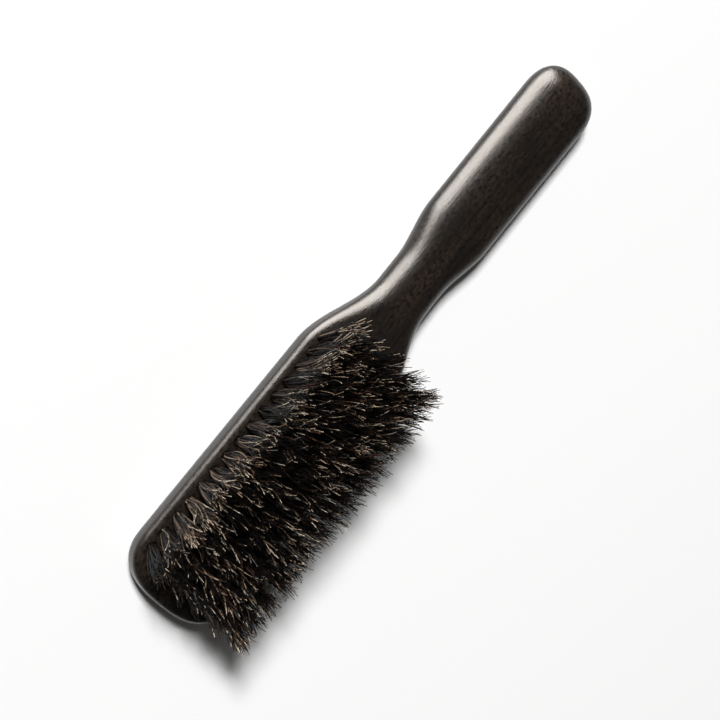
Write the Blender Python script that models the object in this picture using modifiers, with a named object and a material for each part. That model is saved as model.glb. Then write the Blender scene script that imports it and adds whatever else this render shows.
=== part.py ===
"""Fade brush: one wooden stock, drilled and filled with ranks of boar bristle.

The brush lies on its flat back with the bristles up.  The origin is on the
ground plane under the middle of its length.  +X runs from the toe of the head
to the end of the grip, +Y is the left-hand side seen from the toe, +Z is up.
Lengths are in metres.
"""
import math

import bmesh
import bpy

# Stock, in plan
LENGTH = 0.190
HEAD_WIDTH = 0.0332
NECK_WIDTH = 0.0172
GRIP_START_WIDTH = 0.0227
GRIP_END_WIDTH = 0.0231
TOE_DEPTH = 0.0130         # length over which the toe rounds off
TOE_POWER = 2.6            # 2 is an ellipse, higher is squarer
END_DEPTH = 0.0125
END_POWER = 2.7
SHOULDER_X = -0.0164       # the head's straight sides end here
NECK_FROM_X = 0.0125       # the neck is narrowest between these two
NECK_TO_X = 0.0203
GRIP_X = 0.0386            # the grip is full from here on

# Stock, in section: a board with elliptical edges, each given as width and height
THICKNESS = 0.0110
HEAD_FACE_EDGE = (0.0026, 0.0018)
HEAD_BACK_EDGE = (0.0070, 0.0070)
GRIP_FACE_EDGE = (0.0090, 0.0050)
GRIP_BACK_EDGE = (0.0050, 0.0060)
WIDEST_EDGE = 0.80         # an edge takes at most this share of the half width

# Drilling
RANKS = 15                 # crosswise ranks, counted from the toe
RANK_PITCH = 0.00515
FIRST_RANK_X = -0.0848
OUTER_ROW = 2              # lengthwise rows are numbered -2 to 2, with 0 on the centre line
ROW_PITCH = 0.0063
HOLE_RADIUS = 0.0016
HOLE_DEPTH = 0.0070
CUTTER_RISE = 0.0020       # the cutter starts this far above the face
LENGTHWISE_FAN = 0.215     # slope of the first and the last rank
CROSSWISE_FAN = 0.10       # slope of the two outer rows

# Bristle
BRISTLE_LENGTH = 0.0220    # height of the tips above the face
GAP = 0.0003
WAIST_HEIGHT = 0.0015      # a tuft starts to open here
BELLY_HEIGHT = 0.0075
MEET_HEIGHT = 0.0150       # the two tufts of a pair mingle above this
OPENING_POWER = 0.6        # under 1, a tuft opens early and then rises straighter
MEET_OVERLAP = 0.0003
TIP_ROUNDING = 0.0020
TIP_SHRINK = 0.70

# Mesh density
STRAIGHT_STEPS = 22
END_STEPS = 9
EDGE_STEPS = 4
HOLE_SIDES = 8
TUFT_SIDES = 8
SHARP_ANGLE = math.radians(40)
MERGE_DISTANCE = 0.00001

PARTS_NAME = "fade_brush"
CUTTERS_NAME = "cutters"


def clear_scene():
    for obj in list(bpy.data.objects):
        bpy.data.objects.remove(obj, do_unlink=True)


def new_collection(name):
    collection = bpy.data.collections.new(name)
    bpy.context.scene.collection.children.link(collection)
    return collection


def make_material(name, color, roughness):
    material = bpy.data.materials.new(name)
    material.use_nodes = True
    shader = material.node_tree.nodes["Principled BSDF"]
    shader.inputs["Base Color"].default_value = (*color, 1.0)
    shader.inputs["Roughness"].default_value = roughness
    shader.inputs["Metallic"].default_value = 0.0
    material.diffuse_color = (*color, 1.0)
    return material


def add_object(name, bm, collection, material=None):
    mesh = bpy.data.meshes.new(name)
    bm.to_mesh(mesh)
    bm.free()
    mesh.shade_smooth()
    mesh.set_sharp_from_angle(angle=SHARP_ANGLE)
    obj = bpy.data.objects.new(name, mesh)
    collection.objects.link(obj)
    if material:
        mesh.materials.append(material)
    return obj


def make_cutter(obj):
    obj.hide_render = True
    obj.display_type = "WIRE"


def add_boolean(obj, tool, operation):
    modifier = obj.modifiers.new(operation.lower(), "BOOLEAN")
    modifier.operation = operation
    modifier.solver = "EXACT"
    modifier.object = tool


def blend(start, end, x):
    """Smooth step from 0 at start to 1 at end."""
    t = min(max((x - start) / (end - start), 0.0), 1.0)
    return t * t * (3.0 - 2.0 * t)


def mix(a, b, t):
    return a + (b - a) * t


# ---------------------------------------------------------------- the stock


def side_half_width(x):
    """Half width of the stock's sides, without the rounding of its two ends."""
    grip_end = LENGTH / 2 - END_DEPTH
    taper = min(max((x - GRIP_X) / (grip_end - GRIP_X), 0.0), 1.0)
    width = mix(HEAD_WIDTH, NECK_WIDTH, blend(SHOULDER_X, NECK_FROM_X, x))
    width += (GRIP_START_WIDTH - NECK_WIDTH) * blend(NECK_TO_X, GRIP_X, x)
    width += (GRIP_END_WIDTH - GRIP_START_WIDTH) * taper
    return width / 2


def edge(x, head_edge, grip_edge):
    """Width and height of one rounded edge, changing over from the head to the grip."""
    change = blend(SHOULDER_X, NECK_TO_X, x)
    width = mix(head_edge[0], grip_edge[0], change)
    height = mix(head_edge[1], grip_edge[1], change)
    return min(width, WIDEST_EDGE * side_half_width(x)), height


def outline():
    """Half outline of the stock from the toe to the grip's end, on the +Y side."""
    points = []
    toe_x = -LENGTH / 2 + TOE_DEPTH
    for step in range(END_STEPS):
        angle = math.pi / 2 * step / END_STEPS
        x = toe_x - TOE_DEPTH * math.cos(angle) ** (2 / TOE_POWER)
        points.append((x, side_half_width(x) * math.sin(angle) ** (2 / TOE_POWER)))
    end_x = LENGTH / 2 - END_DEPTH
    for step in range(STRAIGHT_STEPS + 1):
        x = mix(toe_x, end_x, step / STRAIGHT_STEPS)
        points.append((x, side_half_width(x)))
    for step in range(1, END_STEPS + 1):
        angle = math.pi / 2 * (1 - step / END_STEPS)
        x = end_x + END_DEPTH * max(math.cos(angle), 0.0) ** (2 / END_POWER)
        points.append((x, side_half_width(x) * max(math.sin(angle), 0.0) ** (2 / END_POWER)))
    points[0] = (-LENGTH / 2, 0.0)
    points[-1] = (LENGTH / 2, 0.0)
    return points


def spine_x(x):
    """Nearest point of the spine, which stops short of the stock's two round ends."""
    return min(max(x, -LENGTH / 2 + TOE_DEPTH), LENGTH / 2 - END_DEPTH)


def edge_section(x):
    """Inset and height of the stock's skin at x, from the back up to the face."""
    back_width, back_height = edge(x, HEAD_BACK_EDGE, GRIP_BACK_EDGE)
    face_width, face_height = edge(x, HEAD_FACE_EDGE, GRIP_FACE_EDGE)
    section = []
    for step in range(EDGE_STEPS + 1):
        angle = math.pi / 2 * step / EDGE_STEPS
        section.append((back_width * (1 - math.sin(angle)), back_height * (1 - math.cos(angle))))
    for step in range(EDGE_STEPS + 1):
        angle = math.pi / 2 * step / EDGE_STEPS
        inset = face_width * (1 - math.cos(angle))
        section.append((inset, THICKNESS - face_height * (1 - math.sin(angle))))
    return section


def stock_skin():
    """Grid of points over the +Y half: one column for each point of the outline."""
    columns = []
    for x, y in outline():
        middle = spine_x(x)
        reach = math.hypot(x - middle, y)
        column = [(middle, 0.0, 0.0)]
        for inset, z in edge_section(x):
            part = 1 - inset / reach
            column.append((mix(middle, x, part), y * part, z))
        column.append((middle, 0.0, THICKNESS))
        columns.append(column)
    return columns


def add_stock(collection, material):
    columns = stock_skin()
    rows = len(columns[0])
    bm = bmesh.new()
    bmesh.ops.create_grid(bm, x_segments=len(columns) - 1, y_segments=rows - 1, size=1.0)
    for vert in bm.verts:
        column = round((vert.co.x + 1) / 2 * (len(columns) - 1))
        row = round((vert.co.y + 1) / 2 * (rows - 1))
        vert.co = columns[column][row]
    bmesh.ops.remove_doubles(bm, verts=bm.verts, dist=MERGE_DISTANCE)
    bmesh.ops.reverse_faces(bm, faces=bm.faces)
    stock = add_object("wooden_stock", bm, collection, material)
    mirror = stock.modifiers.new("mirror", "MIRROR")
    mirror.use_axis = (False, True, False)
    mirror.merge_threshold = MERGE_DISTANCE
    return stock


# ---------------------------------------------------------------- the holes


def fan(rank, row):
    """Slopes of a tuft's axis along X and along Y, growing towards the outside."""
    return LENGTHWISE_FAN * (2 * rank / (RANKS - 1) - 1), CROSSWISE_FAN * row / OUTER_ROW


def tuft_centre(rank, row, height):
    """Axis of a tuft at a height above the face (below it when negative)."""
    along, across = fan(rank, row)
    x = FIRST_RANK_X + rank * RANK_PITCH + along * height
    y = row * ROW_PITCH + across * height
    return x, y, THICKNESS + height


def ring(bm, centre, sides, radius_x, radius_left, radius_right):
    """Level ring with its radii measured to its flats; y can differ left and right."""
    corner = 1 / math.cos(math.pi / sides)
    verts = []
    for side in range(sides):
        angle = 2 * math.pi * (side + 0.5) / sides
        radius_y = radius_left if math.sin(angle) > 0 else radius_right
        x = centre[0] + radius_x * corner * math.cos(angle)
        y = centre[1] + radius_y * corner * math.sin(angle)
        verts.append(bm.verts.new((x, y, centre[2])))
    return verts


def loft(bm, rings):
    """Closed body through level rings, lowest first."""
    sides = len(rings[0])
    for lower, upper in zip(rings, rings[1:]):
        for side in range(sides):
            after = (side + 1) % sides
            bm.faces.new((lower[side], lower[after], upper[after], upper[side]))
    bm.faces.new(list(reversed(rings[0])))
    bm.faces.new(rings[-1])


def add_hole_cutter(collection):
    bm = bmesh.new()
    for rank in range(RANKS):
        for row in range(-OUTER_ROW, OUTER_ROW + 1):
            rings = []
            for height in (-HOLE_DEPTH, CUTTER_RISE):
                centre = tuft_centre(rank, row, height)
                rings.append(ring(bm, centre, HOLE_SIDES, HOLE_RADIUS, HOLE_RADIUS, HOLE_RADIUS))
            loft(bm, rings)
    cutter = add_object("tuft_holes", bm, collection)
    make_cutter(cutter)
    return cutter


# ---------------------------------------------------------------- the tufts


def pitch_x(height):
    """Distance along X between neighbouring tuft axes at a height."""
    return RANK_PITCH + 2 * LENGTHWISE_FAN / (RANKS - 1) * max(height, 0.0)


def pitch_y(height):
    """Distance along Y between neighbouring tuft axes at a height."""
    return ROW_PITCH + CROSSWISE_FAN / OUTER_ROW * max(height, 0.0)


def tuft_radii(height):
    """Half sizes of a free-standing tuft along X and Y at a height."""
    root = HOLE_RADIUS - GAP
    opened = blend(WAIST_HEIGHT, BRISTLE_LENGTH, height) ** OPENING_POWER
    half_x = mix(root, (pitch_x(height) - GAP) / 2, opened)
    half_y = mix(root, (pitch_y(height) - GAP) / 2, opened)
    return half_x, half_y


def tuft_body(rank, row, partner_side=0):
    """Body of one tuft; on its partner's side it spreads until the two meet."""
    bm = bmesh.new()
    root = HOLE_RADIUS - GAP
    rings = []
    for height in (-HOLE_DEPTH + GAP, WAIST_HEIGHT):
        rings.append(ring(bm, tuft_centre(rank, row, height), TUFT_SIDES, root, root, root))
    shoulder = BRISTLE_LENGTH - TIP_ROUNDING
    for height in (BELLY_HEIGHT, MEET_HEIGHT, shoulder, BRISTLE_LENGTH):
        half_x, half_y = tuft_radii(min(height, shoulder))
        reach = {1: half_y, -1: half_y}
        if partner_side and height >= MEET_HEIGHT:
            reach[partner_side] = (pitch_y(height) + MEET_OVERLAP) / 2
        shrink = TIP_SHRINK if height == BRISTLE_LENGTH else 1.0
        centre = tuft_centre(rank, row, height)
        rings.append(ring(bm, centre, TUFT_SIDES, half_x * shrink,
                          reach[1] * shrink, reach[-1] * shrink))
    loft(bm, rings)
    return bm


def add_single(name, rank, collection, material):
    add_object(name, tuft_body(rank, 0), collection, material)


def add_pair(name, rank, side, collection, helpers, material):
    """Inner and outer tuft on one side of a rank, joined where their tips mingle."""
    outer = add_object(name, tuft_body(rank, OUTER_ROW * side, -side), collection, material)
    inner = add_object(name + "_inner", tuft_body(rank, side, side), helpers, material)
    make_cutter(inner)
    add_boolean(outer, inner, "UNION")


def main():
    clear_scene()
    parts = new_collection(PARTS_NAME)
    cutters = new_collection(CUTTERS_NAME)
    wood = make_material("ebonised_wood", (0.018, 0.014, 0.012), 0.38)
    bristle = make_material("boar_bristle", (0.055, 0.042, 0.034), 0.45)

    stock = add_stock(parts, wood)
    add_boolean(stock, add_hole_cutter(cutters), "DIFFERENCE")

    for rank in range(RANKS):
        number = f"{rank + 1:02d}"
        add_pair("tuft_pair_left_" + number, rank, 1, parts, cutters, bristle)
        add_single("tuft_middle_" + number, rank, parts, bristle)
        add_pair("tuft_pair_right_" + number, rank, -1, parts, cutters, bristle)


main()
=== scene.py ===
"""Fade brush: an ebonised wooden stock, drilled and filled with anchor-set tufts of boar bristle.

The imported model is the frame.  The brush lies on its flat back with the bristles up: the toe of
its head is at -X, the end of its grip at +X, and +Y is the left-hand side seen from the toe.
Lengths are in metres.
"""

import math

import bmesh
import bpy
import numpy as np
from mathutils import Matrix, Vector


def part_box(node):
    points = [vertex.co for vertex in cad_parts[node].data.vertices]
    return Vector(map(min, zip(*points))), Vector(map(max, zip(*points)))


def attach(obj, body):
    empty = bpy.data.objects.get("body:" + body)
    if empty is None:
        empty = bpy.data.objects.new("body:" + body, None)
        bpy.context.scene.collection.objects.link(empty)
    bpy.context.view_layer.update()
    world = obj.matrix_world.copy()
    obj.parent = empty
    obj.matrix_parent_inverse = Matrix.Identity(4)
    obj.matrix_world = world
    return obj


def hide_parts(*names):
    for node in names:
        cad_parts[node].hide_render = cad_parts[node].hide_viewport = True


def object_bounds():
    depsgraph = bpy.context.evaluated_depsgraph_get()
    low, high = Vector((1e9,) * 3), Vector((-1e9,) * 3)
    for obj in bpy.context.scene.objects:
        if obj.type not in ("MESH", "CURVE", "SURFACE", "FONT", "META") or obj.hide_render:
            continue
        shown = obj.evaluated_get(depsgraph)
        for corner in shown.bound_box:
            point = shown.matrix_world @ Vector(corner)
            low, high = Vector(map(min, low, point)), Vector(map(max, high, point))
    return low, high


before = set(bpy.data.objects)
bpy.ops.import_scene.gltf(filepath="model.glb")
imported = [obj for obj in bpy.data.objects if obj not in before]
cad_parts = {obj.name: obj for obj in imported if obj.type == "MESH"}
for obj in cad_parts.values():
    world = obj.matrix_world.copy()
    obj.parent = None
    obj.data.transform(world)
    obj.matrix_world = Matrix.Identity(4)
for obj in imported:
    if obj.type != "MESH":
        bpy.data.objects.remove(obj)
cad_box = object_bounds()
stock_low, stock_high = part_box("wooden_stock")

# Stock, in plan (the same outline as the frame's stock, drawn finer)
LENGTH = stock_high[0] - stock_low[0]
HEAD_WIDTH = stock_high[1] - stock_low[1]
NECK_WIDTH = 0.0172
GRIP_START_WIDTH = 0.0227
GRIP_END_WIDTH = 0.0231
TOE_DEPTH = 0.0130
TOE_POWER = 2.6
END_DEPTH = 0.0125
END_POWER = 2.7
SHOULDER_X = -0.0164
NECK_FROM_X = 0.0125
NECK_TO_X = 0.0203
GRIP_X = 0.0386

# Stock, in section: a board with elliptical edges, each given as width and height
THICKNESS = stock_high[2] - stock_low[2]
HEAD_FACE_EDGE = (0.0026, 0.0018)
HEAD_BACK_EDGE = (0.0070, 0.0070)
GRIP_FACE_EDGE = (0.0090, 0.0050)
GRIP_BACK_EDGE = (0.0050, 0.0060)
WIDEST_EDGE = 0.80
STRAIGHT_STEPS = 150
END_STEPS = 44
EDGE_STEPS = 16
SHARP_ANGLE = math.radians(40)
MERGE_DISTANCE = 0.000001

# Holes and anchors
RANKS = 15
RANK_PITCH = 0.00515
FIRST_RANK_X = -0.0848
OUTER_ROW = 2
ROW_PITCH = 0.0063
HOLE_RADIUS = 0.0016
HOLE_DEPTH = 0.0070
HOLE_SIDES = 24
RIM_DEPTH = 0.00020
CUTTER_RISE = 0.0010
LENGTHWISE_FAN = 0.215
CROSSWISE_FAN = 0.10
ANCHOR_LENGTH = 0.0025
ANCHOR_HEIGHT = 0.0016
ANCHOR_THICKNESS = 0.00028
ANCHOR_LIFT = 0.0004

# Bristle: sizes of the strands
BRISTLE_LENGTH = cad_box[1][2] - THICKNESS
TIP_MARGIN = 0.0001             # keeps a strand's end under the frame's height
STRANDS = 92                    # in a tuft
STRAND_SIDES = 5
STRAND_LEVELS = (0.0, 0.16, 0.36, 0.58, 0.78, 0.92, 1.0)    # shares of a strand's rise
STRAND_SHARP_ANGLE = math.radians(75)
ROOT_RADIUS = 0.000130
TIP_RADIUS = 0.000080
TAPER_POWER = 1.6               # above 1, a strand thins mostly towards its tip
STRAND_SIZE = (0.80, 1.15)      # factor on the radius, from strand to strand
BUNDLE_RADIUS = 0.00142
BUNDLE_JITTER = 0.03            # share of the bundle's radius
ANCHOR_GAP = 0.00005

# Bristle: how the strands lie, as slopes away from the tuft's axis
SPREAD = (0.070, 0.045)         # of the bundle's outermost strands, along X and Y
STRAY = 0.040                   # from strand to strand
TUFT_STRAY = 0.018              # from tuft to tuft
BEND = 0.165                    # curl of a strand
BEND_BACK = 0.70                # share of the curl that a strand first leans the other way
WIDEST_SPLAY = 0.120

# Bristle: wear
WEAR = 0.085                    # spread of the strands' shortening, as a share of the length
BROKEN = 0.14                   # share of the strands that are broken short
BROKEN_LENGTH = (0.70, 0.95)    # what a broken strand keeps of its length
SEED = 11


# ------------------------------------------------------------------ helpers


def blend(start, end, x):
    """Smooth step from 0 at start to 1 at end."""
    t = min(max((x - start) / (end - start), 0.0), 1.0)
    return t * t * (3.0 - 2.0 * t)


def mix(a, b, t):
    return a + (b - a) * t


def add_mesh_object(name, bm):
    mesh = bpy.data.meshes.new(name)
    bm.to_mesh(mesh)
    bm.free()
    mesh.shade_smooth()
    mesh.set_sharp_from_angle(angle=SHARP_ANGLE)
    obj = bpy.data.objects.new(name, mesh)
    bpy.context.scene.collection.objects.link(obj)
    return obj


def bake_modifiers(obj):
    """The evaluated mesh becomes the object's own."""
    evaluated = obj.evaluated_get(bpy.context.evaluated_depsgraph_get())
    mesh = bpy.data.meshes.new_from_object(evaluated)
    obj.modifiers.clear()
    obj.data = mesh


# ---------------------------------------------------------------- materials

NOISE_RANGE = (0.3, 0.7)


def new_material(name):
    material = bpy.data.materials.new(name)
    material.use_nodes = True
    tree = material.node_tree
    return material, tree, tree.nodes["Principled BSDF"]


def add_node(tree, kind, **values):
    """Node with its sockets and settings given by name."""
    node = tree.nodes.new(kind)
    for name, value in values.items():
        socket = node.inputs.get(name.replace("_", " "))
        if socket is not None:
            socket.default_value = value
        else:
            setattr(node, name, value)
    return node


def stretched_noise(tree, scale, detail=3.0, roughness=0.55):
    """Noise over the object's own coordinates; scale is given along X, Y and Z, per metre."""
    place = add_node(tree, "ShaderNodeTexCoord")
    mapping = add_node(tree, "ShaderNodeMapping", Scale=scale)
    noise = add_node(tree, "ShaderNodeTexNoise", Scale=1.0, Detail=detail, Roughness=roughness)
    tree.links.new(place.outputs["Object"], mapping.inputs["Vector"])
    tree.links.new(mapping.outputs["Vector"], noise.inputs["Vector"])
    return noise.outputs["Fac"]


def ramp(tree, source, stops):
    """Colour ramp with (position, colour) stops."""
    node = tree.nodes.new("ShaderNodeValToRGB")
    elements = node.color_ramp.elements
    elements[0].position = stops[0][0]
    elements[0].color = (*stops[0][1], 1.0)
    elements[1].position = stops[-1][0]
    elements[1].color = (*stops[-1][1], 1.0)
    for position, color in stops[1:-1]:
        elements.new(position).color = (*color, 1.0)
    tree.links.new(source, node.inputs["Fac"])
    return node.outputs["Color"]


def blend_colors(tree, factor, first, second, kind="MIX"):
    node = add_node(tree, "ShaderNodeMix", data_type="RGBA", blend_type=kind)
    sockets = (node.inputs[0], node.inputs[6], node.inputs[7])
    for socket, value in zip(sockets, (factor, first, second)):
        if isinstance(value, bpy.types.NodeSocket):
            tree.links.new(value, socket)
        else:
            socket.default_value = value
    return node.outputs[2]


def value_range(tree, source, low, high):
    """Source from the range where noise mostly lies to low..high."""
    node = add_node(tree, "ShaderNodeMapRange")
    node.inputs["From Min"].default_value = NOISE_RANGE[0]
    node.inputs["From Max"].default_value = NOISE_RANGE[1]
    node.inputs["To Min"].default_value = low
    node.inputs["To Max"].default_value = high
    tree.links.new(source, node.inputs["Value"])
    return node.outputs["Result"]


def add_bump(tree, height, distance, strength=1.0, under=None):
    node = add_node(tree, "ShaderNodeBump", Distance=distance, Strength=strength)
    tree.links.new(height, node.inputs["Height"])
    if under:
        tree.links.new(under, node.inputs["Normal"])
    return node.outputs["Normal"]


def wood_material():
    """Black-stained close-grained wood under a satin finish; brown shows through in patches."""
    material, tree, shader = new_material("ebonised_wood")
    streaks = stretched_noise(tree, (45, 900, 900), 4.0)
    mottle = stretched_noise(tree, (700, 1100, 1100), 4.0, 0.65)
    patches = stretched_noise(tree, (38, 120, 120), 3.0)
    pores = stretched_noise(tree, (320, 4200, 4200), 2.0)
    dark = ramp(tree, streaks, [(0.34, (0.0030, 0.0024, 0.0022)), (0.66, (0.0110, 0.0082, 0.0068))])
    brown = ramp(tree, mottle, [(0.38, (0.0040, 0.0030, 0.0026)), (0.62, (0.0380, 0.0260, 0.0165))])
    show = value_range(tree, patches, 0.0, 0.9)
    color = blend_colors(tree, show, dark, brown)
    pore_shade = ramp(tree, pores, [(0.30, (0.35, 0.33, 0.32)), (0.42, (1.0, 1.0, 1.0))])
    color = blend_colors(tree, 0.45, color, pore_shade, "MULTIPLY")
    tree.links.new(color, shader.inputs["Base Color"])
    tree.links.new(value_range(tree, mottle, 0.25, 0.34), shader.inputs["Roughness"])
    relief = add_bump(tree, pores, 0.00005, 0.8)
    relief = add_bump(tree, streaks, 0.00008, 0.6, relief)
    tree.links.new(relief, shader.inputs["Normal"])
    shader.inputs["IOR"].default_value = 1.5
    return material


# Bristle tones: share of the strands, colour of the shaft, colour of the tip
TONES = {
    "black": (0.68, (0.0025, 0.0022, 0.0021), (0.0040, 0.0033, 0.0031)),
    "brown": (0.17, (0.0080, 0.0056, 0.0044), (0.0240, 0.0155, 0.0110)),
    "russet": (0.034, (0.0400, 0.0190, 0.0120), (0.150, 0.075, 0.045)),
    "grey": (0.026, (0.0800, 0.0700, 0.0630), (0.330, 0.295, 0.260)),
    "tan": (0.044, (0.1300, 0.0900, 0.0620), (0.700, 0.505, 0.350)),
    "blond": (0.046, (0.3600, 0.2650, 0.1850), (0.900, 0.770, 0.600)),
}
DARK_TONES = 2              # black and brown
PALE_CHANGE = (0.4, 1.6)    # factor on the share of the other tones, from tuft to tuft
LIT_ROW_PAINTED_PALE = 2.6        # painted light: in the outer row on the +Y side, which faces the lamps, the share of the other tones grows by this factor, so that row reads lighter
TIP_SEGMENTS = 3            # a strand's tip colour takes from none to this many of its last segments


def bristle_material(name, color):
    """One tone of boar bristle: a glossy fibre, duller where its scales are worn."""
    material, tree, shader = new_material("boar_bristle_" + name)
    shader.inputs["Base Color"].default_value = (*color, 1.0)
    shader.inputs["IOR"].default_value = 1.55
    shader.inputs["Specular IOR Level"].default_value = 0.15
    worn = stretched_noise(tree, (900, 900, 260), 2.0)
    tree.links.new(value_range(tree, worn, 0.36, 0.56), shader.inputs["Roughness"])
    return material


def steel_material():
    material, tree, shader = new_material("anchor_wire")
    drawn = stretched_noise(tree, (4000, 400, 4000), 2.0)
    tint = ramp(tree, drawn, [(0.3, (0.42, 0.41, 0.40)), (0.7, (0.58, 0.57, 0.55))])
    tree.links.new(tint, shader.inputs["Base Color"])
    tree.links.new(value_range(tree, drawn, 0.25, 0.40), shader.inputs["Roughness"])
    shader.inputs["Metallic"].default_value = 1.0
    return material


# ---------------------------------------------------------------- the stock


def side_half_width(x):
    """Half width of the stock's sides, without the rounding of its two ends."""
    grip_end = LENGTH / 2 - END_DEPTH
    taper = min(max((x - GRIP_X) / (grip_end - GRIP_X), 0.0), 1.0)
    width = mix(HEAD_WIDTH, NECK_WIDTH, blend(SHOULDER_X, NECK_FROM_X, x))
    width += (GRIP_START_WIDTH - NECK_WIDTH) * blend(NECK_TO_X, GRIP_X, x)
    width += (GRIP_END_WIDTH - GRIP_START_WIDTH) * taper
    return width / 2


def edge(x, head_edge, grip_edge):
    """Width and height of one rounded edge, changing over from the head to the grip."""
    change = blend(SHOULDER_X, NECK_TO_X, x)
    width = mix(head_edge[0], grip_edge[0], change)
    height = mix(head_edge[1], grip_edge[1], change)
    return min(width, WIDEST_EDGE * side_half_width(x)), height


def outline():
    """Half outline of the stock from the toe to the grip's end, on the +Y side."""
    points = []
    toe_x = -LENGTH / 2 + TOE_DEPTH
    for step in range(END_STEPS):
        angle = math.pi / 2 * step / END_STEPS
        x = toe_x - TOE_DEPTH * math.cos(angle) ** (2 / TOE_POWER)
        points.append((x, side_half_width(x) * math.sin(angle) ** (2 / TOE_POWER)))
    end_x = LENGTH / 2 - END_DEPTH
    for step in range(STRAIGHT_STEPS + 1):
        x = mix(toe_x, end_x, step / STRAIGHT_STEPS)
        points.append((x, side_half_width(x)))
    for step in range(1, END_STEPS + 1):
        angle = math.pi / 2 * (1 - step / END_STEPS)
        x = end_x + END_DEPTH * max(math.cos(angle), 0.0) ** (2 / END_POWER)
        points.append((x, side_half_width(x) * max(math.sin(angle), 0.0) ** (2 / END_POWER)))
    points[0] = (-LENGTH / 2, 0.0)
    points[-1] = (LENGTH / 2, 0.0)
    return points


def spine_x(x):
    """Nearest point of the spine, which stops short of the stock's two round ends."""
    return min(max(x, -LENGTH / 2 + TOE_DEPTH), LENGTH / 2 - END_DEPTH)


def edge_section(x):
    """Inset and height of the stock's skin at x, from the back up to the face."""
    back_width, back_height = edge(x, HEAD_BACK_EDGE, GRIP_BACK_EDGE)
    face_width, face_height = edge(x, HEAD_FACE_EDGE, GRIP_FACE_EDGE)
    section = []
    for step in range(EDGE_STEPS + 1):
        angle = math.pi / 2 * step / EDGE_STEPS
        section.append((back_width * (1 - math.sin(angle)), back_height * (1 - math.cos(angle))))
    for step in range(EDGE_STEPS + 1):
        angle = math.pi / 2 * step / EDGE_STEPS
        inset = face_width * (1 - math.cos(angle))
        section.append((inset, THICKNESS - face_height * (1 - math.sin(angle))))
    return section


def stock_skin():
    """Grid of points over the +Y half: one column for each point of the outline."""
    columns = []
    for x, y in outline():
        middle = spine_x(x)
        reach = math.hypot(x - middle, y)
        column = [(middle, 0.0, 0.0)]
        for inset, z in edge_section(x):
            part = 1 - inset / reach
            column.append((mix(middle, x, part), y * part, z))
        column.append((middle, 0.0, THICKNESS))
        columns.append(column)
    return columns


def stock_body():
    """Smooth skin of the stock; half of it is drawn and mirrored."""
    columns = stock_skin()
    rows = len(columns[0])
    bm = bmesh.new()
    bmesh.ops.create_grid(bm, x_segments=len(columns) - 1, y_segments=rows - 1, size=1.0)
    for vert in bm.verts:
        column = round((vert.co.x + 1) / 2 * (len(columns) - 1))
        row = round((vert.co.y + 1) / 2 * (rows - 1))
        vert.co = columns[column][row]
    bmesh.ops.remove_doubles(bm, verts=bm.verts, dist=MERGE_DISTANCE)
    bmesh.ops.reverse_faces(bm, faces=bm.faces)
    stock = add_mesh_object("stock_ebonised", bm)
    mirror = stock.modifiers.new("mirror", "MIRROR")
    mirror.use_axis = (False, True, False)
    mirror.merge_threshold = MERGE_DISTANCE
    return stock


def tufts():
    """Rank and row of every tuft."""
    return [(rank, row) for rank in range(RANKS) for row in range(-OUTER_ROW, OUTER_ROW + 1)]


def fan(rank, row):
    """Slopes of a tuft's axis along X and along Y, growing towards the outside."""
    return LENGTHWISE_FAN * (2 * rank / (RANKS - 1) - 1), CROSSWISE_FAN * row / OUTER_ROW


def tuft_centre(rank, row, height):
    """Axis of a tuft at a height above the face (below it when negative)."""
    along, across = fan(rank, row)
    x = FIRST_RANK_X + rank * RANK_PITCH + along * height
    y = row * ROW_PITCH + across * height
    return x, y, THICKNESS + height


def drill_holes(stock):
    """One flat-bottomed hole for each tuft, its rim broken by a small countersink."""
    levels = (
        (-HOLE_DEPTH, HOLE_RADIUS),
        (-RIM_DEPTH, HOLE_RADIUS),
        (0.0, HOLE_RADIUS + RIM_DEPTH),
        (CUTTER_RISE, HOLE_RADIUS + RIM_DEPTH),
    )
    bm = bmesh.new()
    for rank, row in tufts():
        rings = []
        for height, radius in levels:
            cx, cy, cz = tuft_centre(rank, row, height)
            ring = []
            for side in range(HOLE_SIDES):
                angle = 2 * math.pi * side / HOLE_SIDES
                x = cx + radius * math.cos(angle)
                y = cy + radius * math.sin(angle)
                ring.append(bm.verts.new((x, y, cz)))
            rings.append(ring)
        for lower, upper in zip(rings, rings[1:]):
            for side in range(HOLE_SIDES):
                after = (side + 1) % HOLE_SIDES
                bm.faces.new((lower[side], lower[after], upper[after], upper[side]))
        bm.faces.new(rings[0][::-1])
        bm.faces.new(rings[-1])
    drill = add_mesh_object("drill", bm)
    cut = stock.modifiers.new("holes", "BOOLEAN")
    cut.operation = "DIFFERENCE"
    cut.solver = "EXACT"
    cut.object = drill
    bake_modifiers(stock)
    bpy.data.objects.remove(drill)


def make_stock():
    stock = stock_body()
    drill_holes(stock)
    stock.data.shade_smooth()
    stock.data.set_sharp_from_angle(angle=SHARP_ANGLE)
    stock.data.materials.clear()
    stock.data.materials.append(wood_material())
    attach(stock, "root")
    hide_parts("wooden_stock")


def make_anchors():
    """A slip of flat wire across the bottom of each hole; the strands start on either side of it, as
    if folded round it.
    """
    bm = bmesh.new()
    for rank, row in tufts():
        along, across = fan(rank, row)
        middle = -HOLE_DEPTH + ANCHOR_LIFT + ANCHOR_HEIGHT / 2
        size = Matrix.Diagonal((ANCHOR_THICKNESS, ANCHOR_LENGTH, ANCHOR_HEIGHT, 1.0))
        lean = Vector((along, across, 1.0)).to_track_quat("Z", "Y").to_matrix().to_4x4()
        place = Matrix.Translation(tuft_centre(rank, row, middle)) @ lean @ size
        bmesh.ops.create_cube(bm, size=1.0, matrix=place)
    bmesh.ops.bevel(bm, geom=bm.edges[:], offset=ANCHOR_THICKNESS / 4, segments=2, affect="EDGES")
    anchors = add_mesh_object("anchor_wires", bm)
    anchors.data.materials.append(steel_material())
    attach(anchors, "root")


# --------------------------------------------------------------- the bristle


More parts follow.
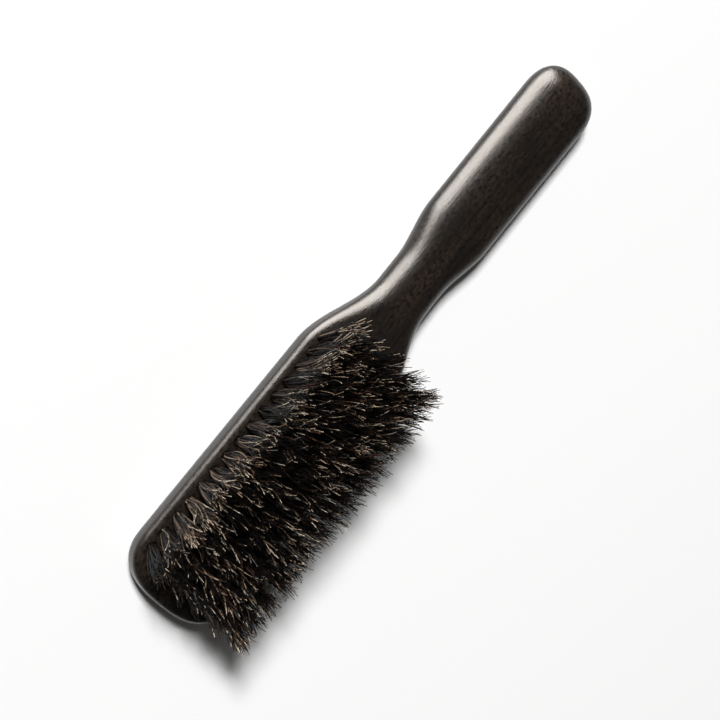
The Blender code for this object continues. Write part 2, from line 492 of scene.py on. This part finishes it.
def tuft_lines(rank, row, rng):
    """Centre lines of a tuft's strands, as an array of strand, level and coordinate."""
    count = STRANDS
    number = np.arange(count) + 0.5
    turn = number * math.pi * (3 - math.sqrt(5)) + rng.uniform(0, 2 * math.pi)
    reach = np.sqrt(number / count)
    disc = np.stack([reach * np.cos(turn), reach * np.sin(turn)], axis=1)
    disc += rng.normal(0, BUNDLE_JITTER, disc.shape)
    disc /= np.maximum(1.0, np.linalg.norm(disc, axis=1, keepdims=True))

    bend = rng.normal(0, BEND, disc.shape)
    splay = disc * np.array(SPREAD) - BEND_BACK * bend
    splay += rng.normal(0, STRAY, disc.shape) + rng.normal(0, TUFT_STRAY, 2)
    total = np.linalg.norm(splay + bend, axis=1, keepdims=True)
    held = np.minimum(1.0, WIDEST_SPLAY / total)
    slope = np.array(fan(rank, row)) + splay * held
    bend = bend * held
    length = BRISTLE_LENGTH * (1.0 - np.abs(rng.normal(0, WEAR, count)))
    broken = rng.random(count) < BROKEN
    length = np.where(broken, length * rng.uniform(*BROKEN_LENGTH, count), length)
    lean = 0.5 * np.sum((slope + bend) ** 2, axis=1)
    rise = np.minimum(length / np.sqrt(1.0 + lean), BRISTLE_LENGTH - TIP_MARGIN)

    cx, cy, cz = tuft_centre(rank, row, 0.0)
    at_face = np.array([cx, cy]) + disc * BUNDLE_RADIUS
    lines = np.zeros((count, len(STRAND_LEVELS) + 1, 3))
    bottom = -HOLE_DEPTH + ANCHOR_LIFT
    lines[:, 0, :2] = at_face + np.array(fan(rank, row)) * bottom
    clearance = ANCHOR_THICKNESS / 2 + ROOT_RADIUS + ANCHOR_GAP
    beside = lines[:, 0, 0] - tuft_centre(rank, row, bottom)[0]
    pushed = np.where(beside < 0, -1, 1) * np.maximum(np.abs(beside), clearance)
    lines[:, 0, 0] += pushed - beside
    lines[:, 0, 2] = cz + bottom
    for index, level in enumerate(STRAND_LEVELS):
        height = rise * level
        curl = bend * (height * level)[:, None]
        lines[:, index + 1, :2] = at_face + slope * height[:, None] + curl
        lines[:, index + 1, 2] = cz + height
    return lines


def strand_tubes(lines, rng):
    """Tapered tubes along the lines: vertices, side faces by strand and segment, and both caps."""
    count, levels, _ = lines.shape
    tangent = np.gradient(lines, axis=1)
    tangent /= np.linalg.norm(tangent, axis=2, keepdims=True)
    side = np.cross(tangent, np.array([1.0, 0.0, 0.0]))
    side /= np.linalg.norm(side, axis=2, keepdims=True)
    other = np.cross(tangent, side)
    steps = np.array([0.0, *STRAND_LEVELS])
    taper = mix(ROOT_RADIUS, TIP_RADIUS, steps ** TAPER_POWER)
    radius = taper[None, :] * rng.uniform(*STRAND_SIZE, count)[:, None]
    angle = 2 * np.pi * np.arange(STRAND_SIDES) / STRAND_SIDES
    ring = side[:, :, None, :] * np.cos(angle)[:, None]
    ring = ring + other[:, :, None, :] * np.sin(angle)[:, None]
    verts = lines[:, :, None, :] + ring * radius[:, :, None, None]

    number = np.arange(count * levels * STRAND_SIDES).reshape(count, levels, STRAND_SIDES)
    turned = np.roll(number, -1, axis=2)
    quads = np.stack([number[:, :-1], number[:, 1:], turned[:, 1:], turned[:, :-1]], axis=-1)
    return verts.reshape(-1, 3), quads, number[:, 0], number[:, -1, ::-1]


def bristle_piece(name, node, tuft_list, materials, rng):
    """All the strands of one or two tufts as one mesh, one material slot for each tone and zone."""
    usual = np.array([tone[0] for tone in TONES.values()])
    verts = []
    faces = []
    slots = []
    offset = 0
    for rank, row in tuft_list:
        lines = tuft_lines(rank, row, rng)
        points, quads, first_caps, last_caps = strand_tubes(lines, rng)
        shares = usual.copy()
        shares[DARK_TONES:] *= rng.uniform(*PALE_CHANGE)
        # painted light: the outer row on the +Y side, nearest the lamps, is given more pale strands
        if row == OUTER_ROW:
            shares[DARK_TONES:] *= LIT_ROW_PAINTED_PALE
        tone = rng.choice(len(shares), size=len(lines), p=shares / shares.sum())
        segments = quads.shape[1]
        tip_from = rng.integers(segments - TIP_SEGMENTS, segments + 1, len(lines))
        zone = np.arange(segments)[None, :] >= tip_from[:, None]
        slot = tone[:, None] * 2 + zone
        verts.append(points)
        faces += (quads.reshape(-1, 4) + offset).tolist()
        slots += np.repeat(slot.reshape(-1), STRAND_SIDES).tolist()
        faces += (first_caps + offset).tolist() + (last_caps + offset).tolist()
        slots += (tone * 2).tolist() + (tone * 2 + 1).tolist()
        offset += len(points)
    mesh = bpy.data.meshes.new(name)
    mesh.from_pydata(np.concatenate(verts).tolist(), [], faces)
    for material in materials:
        mesh.materials.append(material)
    mesh.polygons.foreach_set("material_index", slots)
    mesh.shade_smooth()
    mesh.set_sharp_from_angle(angle=STRAND_SHARP_ANGLE)
    piece = bpy.data.objects.new(name, mesh)
    bpy.context.scene.collection.objects.link(piece)
    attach(piece, "root")
    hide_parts(node)


def make_bristle():
    materials = []
    for tone, (_, shaft, tip) in TONES.items():
        materials.append(bristle_material(tone, shaft))
        materials.append(bristle_material(tone + "_tip", tip))
    rng = np.random.default_rng(SEED)
    for rank in range(RANKS):
        number = f"{rank + 1:02d}"
        for side, rows in (("pair_left", (1, 2)), ("middle", (0,)), ("pair_right", (-1, -2))):
            node = f"tuft_{side}_{number}"
            pairs = [(rank, row) for row in rows]
            bristle_piece(f"bristle_{side}_{number}", node, pairs, materials, rng)


# ------------------------------------------------------- floor, light, camera

FLOOR_SIZE = 12.0
FLOOR_DROP = 0.00005    # keeps the floor clear of the stock's back
CAMERA_TARGET = Vector((-0.00978, -0.00022, 0.010))
CAMERA_DISTANCE = 0.4606
CAMERA_AZIMUTH = math.radians(115.93)    # from +X towards +Y
CAMERA_ELEVATION = math.radians(63.09)
CAMERA_ROLL = math.radians(105.41)
CAMERA_LENS = 84.14
CAMERA_NEAR = 0.01


def direction(azimuth, elevation):
    flat = math.cos(elevation)
    return Vector((flat * math.cos(azimuth), flat * math.sin(azimuth), math.sin(elevation)))


def make_floor():
    bm = bmesh.new()
    bmesh.ops.create_grid(bm, x_segments=8, y_segments=8, size=FLOOR_SIZE / 2)
    floor = add_mesh_object("floor", bm)
    material, tree, shader = new_material("pale_floor")
    shader.inputs["Base Color"].default_value = (0.90, 0.90, 0.90, 1.0)
    shader.inputs["Roughness"].default_value = 0.8
    shader.inputs["Specular IOR Level"].default_value = 0.0
    floor.data.materials.append(material)
    floor.location.z = -FLOOR_DROP


def add_area_light(name, kind, azimuth, elevation, distance, size, radiance, color):
    """Rectangle of the given (width, height) that faces the brush; kind is DIFFUSE or GLOSSY.

    A DIFFUSE light lights matt surfaces only, and a GLOSSY one shows only in reflections.
    """
    light = bpy.data.lights.new(name, "AREA")
    light.shape = "RECTANGLE"
    light.size, light.size_y = size
    light.energy = radiance * math.pi * size[0] * size[1]
    light.color = color
    obj = bpy.data.objects.new(name, light)
    toward = direction(math.radians(azimuth), math.radians(elevation))
    obj.location = toward * distance
    obj.rotation_euler = toward.to_track_quat("Z", "Y").to_euler()
    obj.visible_camera = False
    obj.visible_diffuse = kind == "DIFFUSE"
    obj.visible_glossy = kind == "GLOSSY"
    bpy.context.scene.collection.objects.link(obj)


def make_light():
    add_area_light("key", kind="DIFFUSE", azimuth=73, elevation=54.8, distance=4.0,
                   size=(0.62, 0.92), radiance=114.0, color=(1.0, 1.0, 1.0))
    add_area_light("window", kind="GLOSSY", azimuth=52, elevation=24, distance=1.6,
                   size=(1.5, 1.70), radiance=19.0, color=(1.0, 0.945, 0.885))
    world = bpy.data.worlds.new("studio")
    world.use_nodes = True
    background = world.node_tree.nodes["Background"]
    background.inputs["Color"].default_value = (1.0, 0.97, 0.93, 1.0)
    background.inputs["Strength"].default_value = 0.05
    bpy.context.scene.world = world
    bpy.context.scene.view_settings.view_transform = "Standard"


def make_camera():
    camera = bpy.data.objects.new("camera", bpy.data.cameras.new("camera"))
    back = direction(CAMERA_AZIMUTH, CAMERA_ELEVATION)
    level = Vector((0, 0, 1)).cross(back).normalized()
    upright = back.cross(level)
    right = math.cos(CAMERA_ROLL) * level + math.sin(CAMERA_ROLL) * upright
    up = back.cross(right)
    basis = Matrix((right, up, back)).transposed().to_4x4()
    camera.matrix_world = Matrix.Translation(CAMERA_TARGET + back * CAMERA_DISTANCE) @ basis
    camera.data.lens = CAMERA_LENS
    camera.data.clip_start = CAMERA_NEAR
    bpy.context.scene.collection.objects.link(camera)
    bpy.context.scene.camera = camera


make_stock()
make_anchors()
make_bristle()
make_floor()
make_light()
make_camera()
